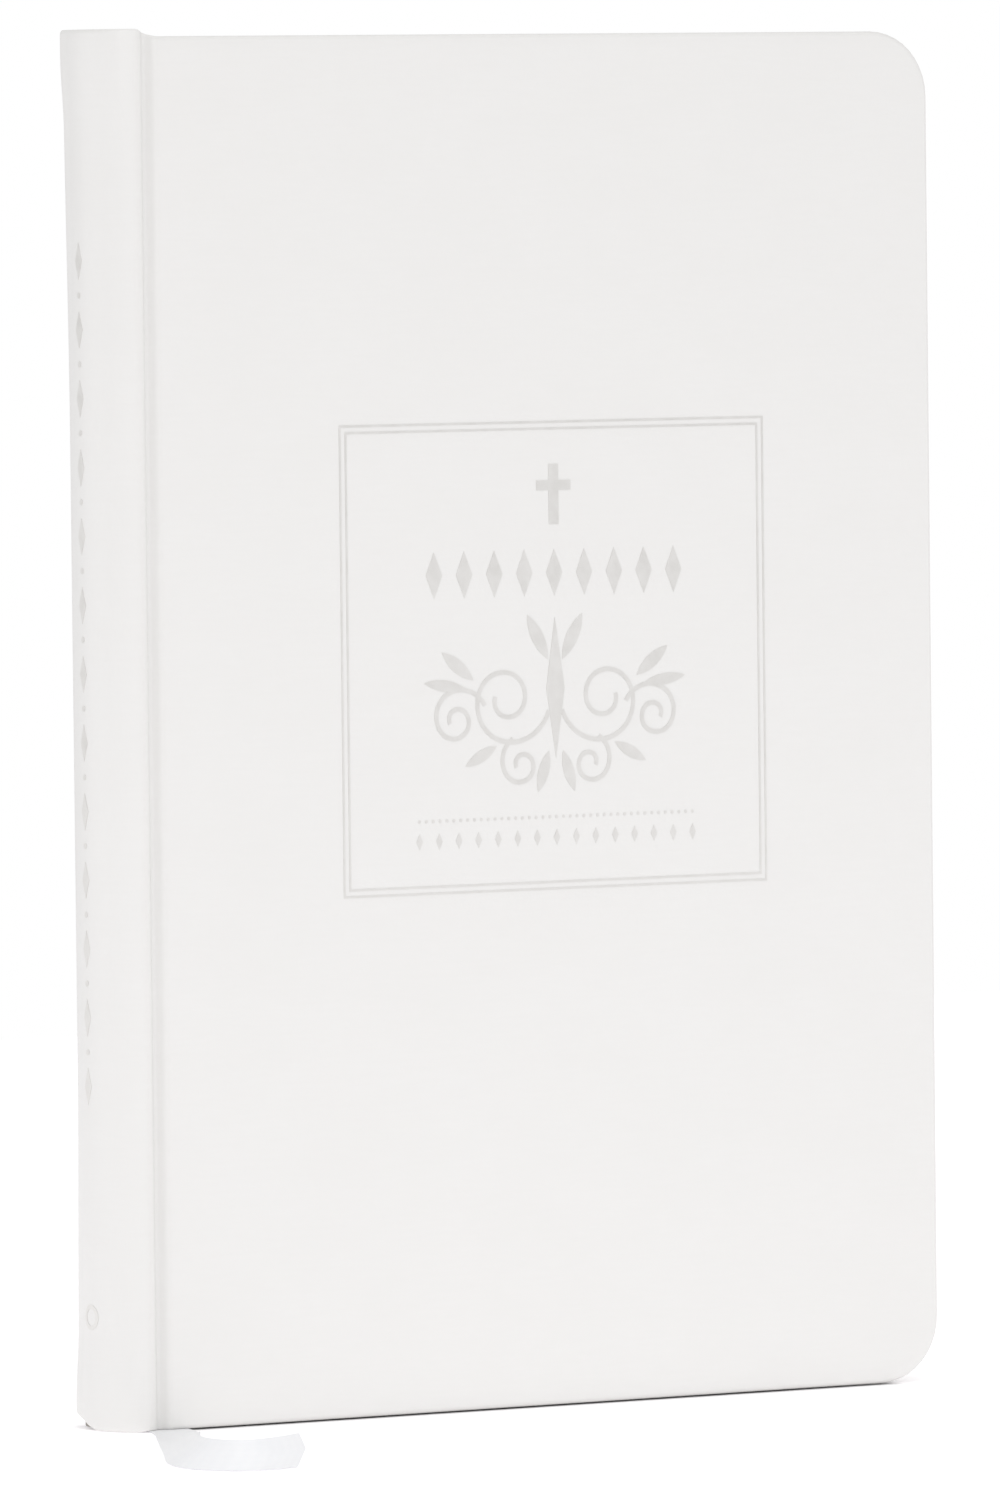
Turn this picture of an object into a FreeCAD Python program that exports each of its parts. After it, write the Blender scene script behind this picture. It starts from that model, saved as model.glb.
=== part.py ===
import FreeCAD, Part
import math
import os

# A case-bound gift bible, closed and standing upright on the tail of its spine.
# Millimetres. +Z is the height of the book, +X runs from the spine to the fore-edge, and the
# front cover faces -Y. The origin is the middle of the bottom of the closed book.
# "Head" is the top edge, "tail" the bottom edge. Words such as front_depth are distances along -Y.

Vector = FreeCAD.Vector
ORIGIN = Vector(0, 0, 0)

# ---- Case ---------------------------------------------------------------------------------
CASE_WIDTH = 116.0          # outermost spine to fore-edge
CASE_THICKNESS = 14.6       # over the two covers
BOARD_HEIGHT = 165.0        # covered board, head to tail
BOARD_LIFT = 0.5            # the boards' tail edges above the tail of the spine
SPINE_HEIGHT = 166.4        # the spine stands proud of the boards at both ends
COVERING = 0.3              # thickness of the covering material
BOARD = 1.5                 # thickness of the bare board
TURN_IN = 12.0              # width of the covering folded over onto a board's inner face
CORNER_RADIUS = 8.0         # rounded fore-edge corners of the covers
FOIL = 0.05                 # stamped foil standing on the covering

# ---- Spine and joints ---------------------------------------------------------------------
SPINE_SAGITTA = 3.7         # roundness of the spine
SPINE_HALF = 6.9            # half width of the rounded part
SHOULDER_RADIUS = 0.9       # small round from the spine into the joint
SHOULDER_EXIT = 45.0        # degrees at which the shoulder dips into the joint
JOINT_OFFSET = 5.6          # bottom of the joint groove, from the outermost spine
JOINT_DEPTH = 1.4           # groove bottom below the covers' outer faces
JOINT_EDGE_ROUND = 0.4      # round of the covering over the board's joint edge
SPLIT_OFFSET = 4.8          # the covering is split here, from the outermost spine
SEAM = 0.05                 # gap left at the split
BOARD_OFFSET = 6.7          # joint edge of the bare board, from the outermost spine
HINGE_CLEARANCE = 0.15      # hinge line outside the foil's surface
SPINE_CARD = 0.6            # thickness of the card that stiffens the spine
SPINE_CARD_HALF = 3.9       # half width of that card

# ---- Text block ---------------------------------------------------------------------------
SIGNATURES = 11             # sewn gatherings of folded leaves
BLOCK_HALF = 4.84           # half thickness of the sewn block
SIGNATURE = 0.82            # thickness of one pressed signature
SQUARE = 3.2                # the covers' overhang round the block
FOLD_OFFSET = 2.8           # outermost folds, from the outermost spine
BLOCK_SAGITTA = 0.6         # roundness of the block's spine
FOLD_RADIUS = 0.2           # nose of a fold
FOLD_TAPER = 1.8            # a signature thins over this length towards its fold
MIDDLE = SIGNATURES // 2    # index of the signature that stays on the spine

# ---- Endpapers and spine linings ----------------------------------------------------------
PASTEDOWN = 0.15
PASTEDOWN_MARGIN = 4.0      # covering left showing round a pastedown
FLYLEAF = 0.10
FLYLEAF_GAP = 0.06
MULL = 0.15                 # open-weave cloth that joins the block to the case
MULL_WING = 18.0            # width of the cloth under each pastedown
MULL_MARGIN = 16.0          # the cloth stops this far short of the block's head and tail
LINING = 0.13               # paper over the cloth on the spine
THREAD = 0.23               # sewing thread across the folds
THREAD_HEIGHT = 0.35
KETTLE_MARGIN = 15.0        # end stitches, from the block's head and tail
STATION_PAIRS = 2           # pairs of stitches between the end stitches
STATION_SPREAD = 4.0        # distance between the stitches of a pair

# ---- Headbands ----------------------------------------------------------------------------
BEAD_RADIUS = 0.6
BAND_TONGUE = 8.0           # cloth tongue glued down the spine
BAND_THICKNESS = 0.27
BAND_GAP = 0.02

# ---- Ribbon marker ------------------------------------------------------------------------
RIBBON_WIDTH = 5.0
RIBBON = 0.18
RIBBON_SLOT = 0.25          # extra room for it behind the middle signature
RIBBON_OFFSET = 7.0         # its middle line, from the outermost spine
RIBBON_BEND = 2.0           # bend from the block down to the floor
RIBBON_FLOOR = 0.02         # gap below the strip that lies on the floor
RIBBON_EXIT = -3.0          # y where the free tail takes over
RIBBON_ROUTE = [            # free tail on the floor, x and y of its middle line
    (-51.0, -3.0),
    (-51.0, -10.5),
    (-57.8, -22.8),
    (-68.0, -38.5),
    (-71.5, -46.5),
    (-69.5, -53.5),
    (-63.5, -57.0),
]
ARC_SHARE = 0.45            # an arc of the route uses this share of its shorter run

# ---- Stamping on the front cover ----------------------------------------------------------
STAMP_X = 3.45              # middle line of the stamped panel
PANEL_HALF_WIDTH = 30.1
PANEL_TAIL = 62.45
PANEL_HEAD = 118.95
RULE = 0.26                 # width of one stamped rule
RULE_STEP = 0.80            # from one rule of the frame to the next
CROSS_HEAD = 113.75
CROSS_FOOT = 106.5
CROSS_ARM_Z = 111.2
CROSS_WIDTH = 1.4
CROSS_ARM_WIDTH = 1.2
CROSS_HALF_SPAN = 2.43
BAND_Z = 100.7              # row of lozenges under the cross
BAND_HALF_SPAN = 17.0
BAND_LOZENGES = 9
BAND_LOZENGE_TALL = 5.6
BAND_LOZENGE_WIDE = 2.3
SCROLL_Z = 85.6             # middle of the scroll ornament
SCROLL_STROKE = 0.55
DOT_Z = 71.24
DOT_HALF_SPAN = 19.4
DOTS = 41
DOT_RADIUS = 0.2
SMALL_Z = 68.8              # row of small lozenges at the foot of the panel
SMALL_LOZENGES = 15
SMALL_LOZENGE_TALL = 1.9
SMALL_LOZENGE_WIDE = 0.9

# ---- Stamping on the spine ----------------------------------------------------------------
SPINE_STAMP_HEAD = 139.0
SPINE_STAMP_TAIL = 41.0
SPINE_LOZENGES = 13
SPINE_LOZENGE_TALL = 4.4
SPINE_LOZENGE_HALF = 0.75
SPINE_DOT_RADIUS = 0.35
SPINE_MARK_Z = 13.5
SPINE_MARK_RADIUS = 1.5

# ---- Derived ------------------------------------------------------------------------------
SPINE_X = -CASE_WIDTH / 2
FORE_X = CASE_WIDTH / 2
COVER_FACE = CASE_THICKNESS / 2
JOINT_X = SPINE_X + JOINT_OFFSET
SPLIT_X = SPINE_X + SPLIT_OFFSET
BOARD_X = SPINE_X + BOARD_OFFSET
GROOVE_FACE = COVER_FACE - JOINT_DEPTH
BOARD_TAIL = BOARD_LIFT
BOARD_HEAD = BOARD_LIFT + BOARD_HEIGHT
BLOCK_TAIL = BOARD_TAIL + SQUARE
BLOCK_HEAD = BOARD_HEAD - SQUARE
BOARD_OUTER = COVER_FACE - COVERING
BOARD_INNER = BOARD_OUTER - BOARD
TURN_IN_INNER = BOARD_INNER - COVERING
PASTEDOWN_INNER = TURN_IN_INNER - PASTEDOWN
FLYLEAF_OUTER = PASTEDOWN_INNER - FLYLEAF_GAP
SPINE_RADIUS = (SPINE_HALF ** 2 + SPINE_SAGITTA ** 2) / (2 * SPINE_SAGITTA)
SPINE_CENTRE = Vector(SPINE_X + SPINE_RADIUS, 0, 0)
CARD_OUTER = SPINE_RADIUS - COVERING
CARD_INNER = CARD_OUTER - SPINE_CARD
CAP_INNER = CARD_INNER - COVERING
BLOCK_RADIUS = (BLOCK_HALF ** 2 + BLOCK_SAGITTA ** 2) / (2 * BLOCK_SAGITTA)
BLOCK_CENTRE = Vector(SPINE_X + FOLD_OFFSET + BLOCK_RADIUS, 0, 0)
THREAD_INNER = BLOCK_RADIUS + 0.05
MULL_INNER = THREAD_INNER + THREAD + 0.05
LINING_INNER = MULL_INNER + MULL
SIGNATURE_PITCH = (2 * BLOCK_HALF - RIBBON_SLOT) / SIGNATURES
HINGE_FACE = COVER_FACE + FOIL + HINGE_CLEARANCE


# ---- Shape helpers ------------------------------------------------------------------------
def box(x0, x1, y0, y1, z0, z1):
    corner = Vector(min(x0, x1), min(y0, y1), min(z0, z1))
    return Part.makeBox(abs(x1 - x0), abs(y1 - y0), abs(z1 - z0), corner)


def polar(centre, radius, degrees):
    """Point at an angle measured from -X towards -Y, so 0 is the outermost spine."""
    turn = math.radians(degrees)
    return centre + Vector(-radius * math.cos(turn), -radius * math.sin(turn), 0)


def arc(start, middle, end):
    return Part.Arc(start, middle, end).toShape()


def line(start, end):
    return Part.LineSegment(start, end).toShape()


def prism(edges, z0, z1):
    """Upright solid over a closed outline in the XY plane."""
    face = Part.Face(Part.Wire(edges))
    face.translate(Vector(0, 0, z0))
    return face.extrude(Vector(0, 0, z1 - z0))


def outline(points):
    closed = points + points[:1]
    return [line(a, b) for a, b in zip(closed, closed[1:])]


def curved_plate(centre, inner, outer, half_width, z0, z1):
    """Part of an upright tube, as wide as half_width either side of the spine's middle."""
    in_turn = math.degrees(math.asin(half_width / inner))
    out_turn = math.degrees(math.asin(half_width / outer))
    inner_ends = polar(centre, inner, -in_turn), polar(centre, inner, in_turn)
    outer_ends = polar(centre, outer, -out_turn), polar(centre, outer, out_turn)
    edges = [
        arc(inner_ends[0], polar(centre, inner, 0), inner_ends[1]),
        line(inner_ends[1], outer_ends[1]),
        arc(outer_ends[1], polar(centre, outer, 0), outer_ends[0]),
        line(outer_ends[0], inner_ends[0]),
    ]
    return prism(edges, z0, z1)


def mirrored(shape):
    """The same piece on the back of the book."""
    return shape.mirror(ORIGIN, Vector(0, 1, 0))


def save(name, *shapes):
    shape = shapes[0] if len(shapes) == 1 else Part.makeCompound(list(shapes))
    shape.exportStep("parts/" + name + ".step")


# ---- Spine of the case --------------------------------------------------------------------
def spine_outline(depth):
    """Closed outline of the spine, its shoulders and the fall into the joints, shrunk by depth."""
    turn = math.degrees(math.asin(SPINE_HALF / SPINE_RADIUS))
    shoulder_centre = polar(SPINE_CENTRE, SPINE_RADIUS - SHOULDER_RADIUS, turn)
    radius = SHOULDER_RADIUS - depth
    shoulder = polar(shoulder_centre, radius, turn)
    crown = polar(shoulder_centre, radius, (turn + 180 - SHOULDER_EXIT) / 2)
    fall = polar(shoulder_centre, radius, 180 - SHOULDER_EXIT)
    groove = Vector(JOINT_X, -(GROOVE_FACE - depth), 0)

    def back(point):
        return Vector(point.x, -point.y, 0)

    return [
        arc(back(shoulder), polar(SPINE_CENTRE, SPINE_RADIUS - depth, 0), shoulder),
        arc(shoulder, crown, fall),
        line(fall, groove),
        line(groove, back(groove)),
        line(back(groove), back(fall)),
        arc(back(fall), back(crown), back(shoulder)),
    ]


def spine_shell(z0, z1):
    """Covering from the bottom of one joint round the spine to the bottom of the other."""
    return prism(spine_outline(0), z0, z1).cut(prism(spine_outline(COVERING), z0 - 1, z1 + 1))


def spine_covering():
    """Covering over the spine and its shoulders, turned in over the card at both ends."""
    shell = spine_shell(0, SPINE_HEIGHT)
    shell = shell.cut(box(SPLIT_X, JOINT_X + 1, -CASE_THICKNESS, CASE_THICKNESS, -1, SPINE_HEIGHT + 1))
    shoulder_x = SPINE_X + SPINE_SAGITTA
    for z0, z1 in ((-1, BOARD_TAIL), (BOARD_HEAD, SPINE_HEIGHT + 1)):
        shell = shell.cut(box(shoulder_x, JOINT_X, -CASE_THICKNESS, CASE_THICKNESS, z0, z1))
    for z0, z1, cap in ((0, TURN_IN, 0), (SPINE_HEIGHT - TURN_IN, SPINE_HEIGHT, SPINE_HEIGHT - COVERING)):
        turned = curved_plate(SPINE_CENTRE, CAP_INNER, CARD_INNER, SPINE_CARD_HALF, z0, z1)
        over = curved_plate(SPINE_CENTRE, CAP_INNER, CARD_OUTER, SPINE_CARD_HALF, cap, cap + COVERING)
        shell = shell.fuse([turned, over])
    return shell.removeSplitter()


def spine_card():
    return curved_plate(SPINE_CENTRE, CARD_INNER, CARD_OUTER, SPINE_CARD_HALF, COVERING, SPINE_HEIGHT - COVERING)


# ---- Covers -------------------------------------------------------------------------------
def rounded_plate(x0, x1, y0, y1, z0, z1, radius):
    """Plate with its two fore-edge corners rounded."""
    plate = box(x0, x1, y0, y1, z0, z1)
    corners = [
        edge for edge in plate.Edges
        if abs(edge.Vertexes[0].X - x1) < 1e-6 and abs(edge.Vertexes[1].X - x1) < 1e-6
        and abs(edge.Vertexes[0].Y - edge.Vertexes[1].Y) > 1e-6
    ]
    return plate.makeFillet(radius, corners)


def cover_board():
    return rounded_plate(BOARD_X, FORE_X - COVERING, -BOARD_OUTER, -BOARD_INNER,
                         BOARD_TAIL + COVERING, BOARD_HEAD - COVERING, CORNER_RADIUS - COVERING)


def cover_joint_strip():
    """Covering from the spine's shoulder through the joint and up over the board's joint edge."""
    wall_x = BOARD_X - COVERING
    climb = BOARD_X - JOINT_X
    groove = Vector(JOINT_X, -GROOVE_FACE, 0)
    wall_foot = Vector(wall_x, -(GROOVE_FACE + climb - COVERING), 0)
    wall_top = Vector(wall_x, -(COVER_FACE - JOINT_EDGE_ROUND), 0)
    bend = JOINT_EDGE_ROUND * (1 - math.sqrt(0.5))
    crown = Vector(wall_x + bend, -(COVER_FACE - bend), 0)
    face_start = Vector(wall_x + JOINT_EDGE_ROUND, -COVER_FACE, 0)
    under_start = Vector(wall_x + JOINT_EDGE_ROUND, -BOARD_OUTER, 0)
    board_top = Vector(BOARD_X, -BOARD_OUTER, 0)
    board_foot = Vector(BOARD_X, -(GROOVE_FACE + climb - 2 * COVERING), 0)
    groove_inside = Vector(JOINT_X, -(GROOVE_FACE - COVERING), 0)
    edges = [
        line(groove, wall_foot),
        line(wall_foot, wall_top),
        arc(wall_top, crown, face_start),
        line(face_start, under_start),
        line(under_start, board_top),
        line(board_top, board_foot),
        line(board_foot, groove_inside),
        line(groove_inside, groove),
    ]
    climbing = prism(edges, BOARD_TAIL, BOARD_HEAD)
    reach = box(SPLIT_X + SEAM, JOINT_X, -CASE_THICKNESS, 0, BOARD_TAIL, BOARD_HEAD)
    return climbing.fuse(spine_shell(BOARD_TAIL, BOARD_HEAD).common(reach))


def cover_covering():
    """Covering over the outer face, turned in round head, fore-edge and tail."""
    face_x = BOARD_X - COVERING + JOINT_EDGE_ROUND
    wrap = rounded_plate(face_x, FORE_X, -COVER_FACE, -TURN_IN_INNER, BOARD_TAIL, BOARD_HEAD, CORNER_RADIUS)
    window = box(face_x - 1, FORE_X - TURN_IN, -BOARD_INNER - 0.1, 0, BOARD_TAIL + TURN_IN, BOARD_HEAD - TURN_IN)
    shell = wrap.cut([cover_board(), window])
    return shell.fuse(cover_joint_strip()).removeSplitter()


def mull_wing():
    return box(BOARD_X, BOARD_X + MULL_WING, -BOARD_INNER, -(BOARD_INNER - MULL),
               BLOCK_TAIL + MULL_MARGIN, BLOCK_HEAD - MULL_MARGIN)


def pastedown():
    """Sheet over the turn-ins, pressed down onto the board inside them."""
    tail = BOARD_TAIL + PASTEDOWN_MARGIN
    head = BOARD_HEAD - PASTEDOWN_MARGIN
    sheet = rounded_plate(BOARD_X + 0.5, FORE_X - PASTEDOWN_MARGIN, -TURN_IN_INNER, -PASTEDOWN_INNER,
                          tail, head, CORNER_RADIUS - PASTEDOWN_MARGIN)
    pressed = box(BOARD_X + 0.5, FORE_X - TURN_IN, -BOARD_INNER, -TURN_IN_INNER,
                  BOARD_TAIL + TURN_IN, BOARD_HEAD - TURN_IN)
    return sheet.fuse(pressed).cut(mull_wing()).removeSplitter()


# ---- Text block ---------------------------------------------------------------------------
def block_layer(inner, thickness, half_width, z0, z1):
    return curved_plate(BLOCK_CENTRE, inner, inner + thickness, half_width, z0, z1)


def signature_depth(index):
    """y of a signature's middle plane; the ribbon lies behind the middle signature."""
    first = -BLOCK_HALF + SIGNATURE_PITCH / 2
    slot = RIBBON_SLOT if index > MIDDLE else 0
    return first + SIGNATURE_PITCH * index + slot


def fold_x(index):
    """x of the line that a signature turns about, on the rounded spine of the block."""
    depth = signature_depth(index)
    return BLOCK_CENTRE.x - math.sqrt(BLOCK_RADIUS ** 2 - depth ** 2) + FOLD_RADIUS


SIGNATURE_LENGTH = FORE_X - SQUARE - fold_x(0)


def signature(index):
    """Folded leaves pressed into one slab, thinner towards the fold."""
    x = fold_x(index)
    y = signature_depth(index)
    half = SIGNATURE / 2
    fore = x + SIGNATURE_LENGTH
    points = [
        Vector(x, y - FOLD_RADIUS, 0),
        Vector(x + FOLD_TAPER, y - half, 0),
        Vector(fore, y - half, 0),
        Vector(fore, y + half, 0),
        Vector(x + FOLD_TAPER, y + half, 0),
        Vector(x, y + FOLD_RADIUS, 0),
    ]
    edges = [line(a, b) for a, b in zip(points, points[1:])]
    edges.append(arc(points[-1], Vector(x - FOLD_RADIUS, y, 0), points[0]))
    return prism(edges, BLOCK_TAIL, BLOCK_HEAD)


def flyleaf():
    """Free leaf that turns along the fold of the outermost signature."""
    return box(fold_x(0), FORE_X - SQUARE, -FLYLEAF_OUTER, -(FLYLEAF_OUTER - FLYLEAF), BLOCK_TAIL, BLOCK_HEAD)


def sewing_thread():
    """End stitches and pairs of stitches across the folds."""
    tail_stitch = BLOCK_TAIL + KETTLE_MARGIN
    head_stitch = BLOCK_HEAD - KETTLE_MARGIN
    stations = [tail_stitch, head_stitch]
    for pair in range(STATION_PAIRS):
        middle = tail_stitch + (head_stitch - tail_stitch) * (pair + 1) / (STATION_PAIRS + 1)
        stations += [middle - STATION_SPREAD / 2, middle + STATION_SPREAD / 2]
    half_width = BLOCK_HALF - FOLD_RADIUS
    return [block_layer(THREAD_INNER, THREAD, half_width, z, z + THREAD_HEIGHT) for z in stations]


def headband(edge_z, direction):
    """Rolled bead over the folds with a cloth tongue down the spine."""
    half_width = BLOCK_HALF - FOLD_RADIUS
    bead_z = edge_z + direction * (BAND_GAP + BEAD_RADIUS)
    bead_ring = BLOCK_RADIUS - FOLD_RADIUS
    turn = math.degrees(math.asin(half_width / bead_ring))
    start = polar(BLOCK_CENTRE, bead_ring, -turn)
    start.z = bead_z
    tangent = (polar(BLOCK_CENTRE, bead_ring, -turn) - BLOCK_CENTRE).cross(Vector(0, 0, 1))
    section = Part.Face(Part.Wire(Part.makeCircle(BEAD_RADIUS, start, tangent)))
    bead = section.revolve(BLOCK_CENTRE, Vector(0, 0, 1), 2 * turn)
    tongue_z = sorted((edge_z - direction * BAND_TONGUE, bead_z))
    tongue = block_layer(BLOCK_RADIUS + 0.03, BAND_THICKNESS, half_width, *tongue_z)
    return bead.fuse(tongue).removeSplitter()


# ---- Ribbon -------------------------------------------------------------------------------
def ribbon_marker():
    """Ribbon between the leaves, then down to the floor and forwards under the block."""
    front = signature_depth(MIDDLE) + SIGNATURE / 2 + 0.04
    back = front + RIBBON
    top_of_bend = RIBBON_FLOOR + RIBBON + RIBBON_BEND
    bend_y = front - RIBBON_BEND
    x0 = SPINE_X + RIBBON_OFFSET - RIBBON_WIDTH / 2

    def point(y, z):
        return Vector(x0, y, z)

    def on_bend(radius):
        reach = radius * math.sqrt(0.5)
        return point(bend_y + reach, top_of_bend - reach)

    outer = RIBBON_BEND + RIBBON
    edges = [
        line(point(front, BLOCK_HEAD), point(front, top_of_bend)),
        arc(point(front, top_of_bend), on_bend(RIBBON_BEND), point(bend_y, top_of_bend - RIBBON_BEND)),
        line(point(bend_y, top_of_bend - RIBBON_BEND), point(RIBBON_EXIT, top_of_bend - RIBBON_BEND)),
        line(point(RIBBON_EXIT, top_of_bend - RIBBON_BEND), point(RIBBON_EXIT, RIBBON_FLOOR)),
        line(point(RIBBON_EXIT, RIBBON_FLOOR), point(bend_y, RIBBON_FLOOR)),
        arc(point(bend_y, RIBBON_FLOOR), on_bend(outer), point(back, top_of_bend)),
        line(point(back, top_of_bend), point(back, BLOCK_HEAD)),
        line(point(back, BLOCK_HEAD), point(front, BLOCK_HEAD)),
    ]
    return Part.Face(Part.Wire(edges)).extrude(Vector(RIBBON_WIDTH, 0, 0))


def ribbon_path():
    """Straight runs joined by tangent arcs, through the points of the route."""
    height = RIBBON_FLOOR + RIBBON / 2
    points = [Vector(x, y, height) for x, y in RIBBON_ROUTE]
    edges = []
    start = points[0]
    for before, corner, after in zip(points, points[1:], points[2:]):
        back = (before - corner).normalize()
        ahead = (after - corner).normalize()
        shorter = min((before - corner).Length, (after - corner).Length)
        half_turn = (math.pi - back.getAngle(ahead)) / 2
        radius = ARC_SHARE * shorter / math.tan(half_turn)
        arc_start = corner + back * (ARC_SHARE * shorter)
        arc_end = corner + ahead * (ARC_SHARE * shorter)
        to_centre = (back + ahead).normalize()
        middle = corner + to_centre * (radius / math.cos(half_turn) - radius)
        edges.append(line(start, arc_start))
        edges.append(arc(arc_start, middle, arc_end))
        start = arc_end
        print("ribbon bend radius", round(radius, 1))
    edges.append(line(start, points[-1]))
    return Part.Wire(edges)


def ribbon_tail():
    path = ribbon_path()
    start = path.Edges[0].Vertexes[0].Point
    along = (path.Edges[0].Vertexes[1].Point - start).normalize()
    across = along.cross(Vector(0, 0, 1)) * (RIBBON_WIDTH / 2)
    up = Vector(0, 0, RIBBON / 2)
    corners = [start - across - up, start + across - up, start + across + up, start - across + up]
    strip = path.makePipeShell([Part.Wire(outline(corners))], True, False)
    print("ribbon tail length", round(path.Length, 2), "volume", round(strip.Volume, 3),
          "section times length", round(path.Length * RIBBON * RIBBON_WIDTH, 3))
    return strip


# ---- Stamped foil -------------------------------------------------------------------------
def stamp(points):
    """Flat foil with straight sides on the front cover, from points (x, z)."""
    corners = [Vector(x, -COVER_FACE, z) for x, z in points]
    return Part.Face(Part.Wire(outline(corners))).extrude(Vector(0, -FOIL, 0))


def stamp_rectangle(half_width, z0, z1):
    left = STAMP_X - half_width
    right = STAMP_X + half_width
    return stamp([(left, z0), (right, z0), (right, z1), (left, z1)])


def lozenge(x, z, wide, tall):
    return stamp([(x - wide / 2, z), (x, z - tall / 2), (x + wide / 2, z), (x, z + tall / 2)])


def foil_frame():
    """Two thin rules, one inside the other."""
    rules = []
    for step in (0, RULE_STEP):
        outer = stamp_rectangle(PANEL_HALF_WIDTH - step, PANEL_TAIL + step, PANEL_HEAD - step)
        inset = step + RULE
        inner = stamp_rectangle(PANEL_HALF_WIDTH - inset, PANEL_TAIL + inset, PANEL_HEAD - inset)
        rules.append(outer.cut(inner))
    return rules


def foil_cross():
    upright = stamp_rectangle(CROSS_WIDTH / 2, CROSS_FOOT, CROSS_HEAD)
    arms = stamp_rectangle(CROSS_HALF_SPAN, CROSS_ARM_Z - CROSS_ARM_WIDTH / 2, CROSS_ARM_Z + CROSS_ARM_WIDTH / 2)
    return upright.fuse(arms).removeSplitter()


def lozenge_row(count, half_span, z, wide, tall):
    step = 2 * half_span / (count - 1)
    places = [STAMP_X - half_span + step * number for number in range(count)]
    return [lozenge(x, z, wide, tall) for x in places]


def foil_dots():
    step = 2 * DOT_HALF_SPAN / (DOTS - 1)
    places = [STAMP_X - DOT_HALF_SPAN + step * number for number in range(DOTS)]
    return [Part.makeCylinder(DOT_RADIUS, FOIL, Vector(x, -COVER_FACE, DOT_Z), Vector(0, -1, 0)) for x in places]


def stroke(centre_x, centre_z, radius, start, end):
    """Curved stroke of foil: part of a ring, between two angles from +X towards +Z."""
    def at(reach, degrees):
        turn = math.radians(degrees)
        return Vector(centre_x + reach * math.cos(turn), -COVER_FACE, centre_z + reach * math.sin(turn))

    outer = radius + SCROLL_STROKE / 2
    inner = radius - SCROLL_STROKE / 2
    middle = (start + end) / 2
    edges = [
        arc(at(outer, start), at(outer, middle), at(outer, end)),
        line(at(outer, end), at(inner, end)),
        arc(at(inner, end), at(inner, middle), at(inner, start)),
        line(at(inner, start), at(outer, start)),
    ]
    return Part.Face(Part.Wire(edges)).extrude(Vector(0, -FOIL, 0))


def volute(centre_x, centre_z, radius, start, quarter_turns, sweep, shrink):
    """Scroll of quarter rings that shrink towards its eye, each starting where the last one ends."""
    pieces = []
    angle = start
    for _ in range(quarter_turns):
        pieces.append(stroke(centre_x, centre_z, radius, min(angle, angle + sweep), max(angle, angle + sweep)))
        angle += sweep
        smaller = radius * shrink
        centre_x += (radius - smaller) * math.cos(math.radians(angle))
        centre_z += (radius - smaller) * math.sin(math.radians(angle))
        radius = smaller
    return pieces


def leaf(x, z, length, width, degrees):
    """Pointed leaf between two arcs, growing from (x, z) at an angle from +X towards +Z."""
    turn = math.radians(degrees)
    along = Vector(math.cos(turn), 0, math.sin(turn))
    across = Vector(-math.sin(turn), 0, math.cos(turn)) * (width / 2)
    root = Vector(x, -COVER_FACE, z)
    tip = root + along * length
    middle = root + along * (length / 2)
    edges = [arc(root, middle + across, tip), arc(tip, middle - across, root)]
    return Part.Face(Part.Wire(edges)).extrude(Vector(0, -FOIL, 0))


def foil_scroll():
    """Scrollwork about a middle stem: one side is drawn, the other mirrored."""
    side = volute(STAMP_X + 6.2, SCROLL_Z + 0.4, 5.6, 200, 6, 90, 0.80)
    side += volute(STAMP_X + 13.4, SCROLL_Z - 2.6, 3.9, 150, 6, -90, 0.78)
    side += volute(STAMP_X + 4.6, SCROLL_Z - 7.4, 3.0, 60, 5, -90, 0.76)
    side += [
        leaf(STAMP_X + 1.0, SCROLL_Z + 4.6, 6.2, 1.7, 62),
        leaf(STAMP_X + 11.6, SCROLL_Z + 2.4, 5.6, 1.6, 38),
        leaf(STAMP_X + 12.6, SCROLL_Z + 1.4, 6.0, 1.4, 8),
        leaf(STAMP_X + 8.4, SCROLL_Z - 5.6, 5.0, 1.4, -28),
        leaf(STAMP_X + 1.0, SCROLL_Z - 6.4, 5.2, 1.5, -72),
    ]
    half = side[0].fuse(side[1:])
    other = half.mirror(Vector(STAMP_X, 0, 0), Vector(1, 0, 0))
    stem = lozenge(STAMP_X, SCROLL_Z + 1.2, 2.6, 17.0)
    return half.fuse([other, stem]).removeSplitter()


def foil_spine():
    """Chain of lozenges and dots down the spine with a ring at the foot, bent to its curve."""
    skin = curved_plate(SPINE_CENTRE, SPINE_RADIUS, SPINE_RADIUS + FOIL, 3 * SPINE_MARK_RADIUS, 0, SPINE_HEIGHT)

    def cutter(shape_face):
        return shape_face.extrude(Vector(2 * SPINE_SAGITTA, 0, 0))

    start_x = SPINE_X - 1
    step = (SPINE_STAMP_HEAD - SPINE_STAMP_TAIL) / (SPINE_LOZENGES - 1)
    cutters = []
    for number in range(SPINE_LOZENGES):
        z = SPINE_STAMP_TAIL + step * number
        half_tall = SPINE_LOZENGE_TALL / 2
        corners = [
            Vector(start_x, -SPINE_LOZENGE_HALF, z), Vector(start_x, 0, z - half_tall),
            Vector(start_x, SPINE_LOZENGE_HALF, z), Vector(start_x, 0, z + half_tall),
        ]
        cutters.append(cutter(Part.Face(Part.Wire(outline(corners)))))
        if number:
            between = Vector(start_x, 0, z - step / 2)
            cutters.append(Part.makeCylinder(SPINE_DOT_RADIUS, 2 * SPINE_SAGITTA, between, Vector(1, 0, 0)))
    mark = Vector(start_x, 0, SPINE_MARK_Z)
    disc = Part.makeCylinder(SPINE_MARK_RADIUS, 2 * SPINE_SAGITTA, mark, Vector(1, 0, 0))
    hole = Part.makeCylinder(SPINE_MARK_RADIUS - 2 * RULE, 2 * SPINE_SAGITTA, mark, Vector(1, 0, 0))
    cutters.append(disc.cut(hole))
    return [skin.common(shape) for shape in cutters]


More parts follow.
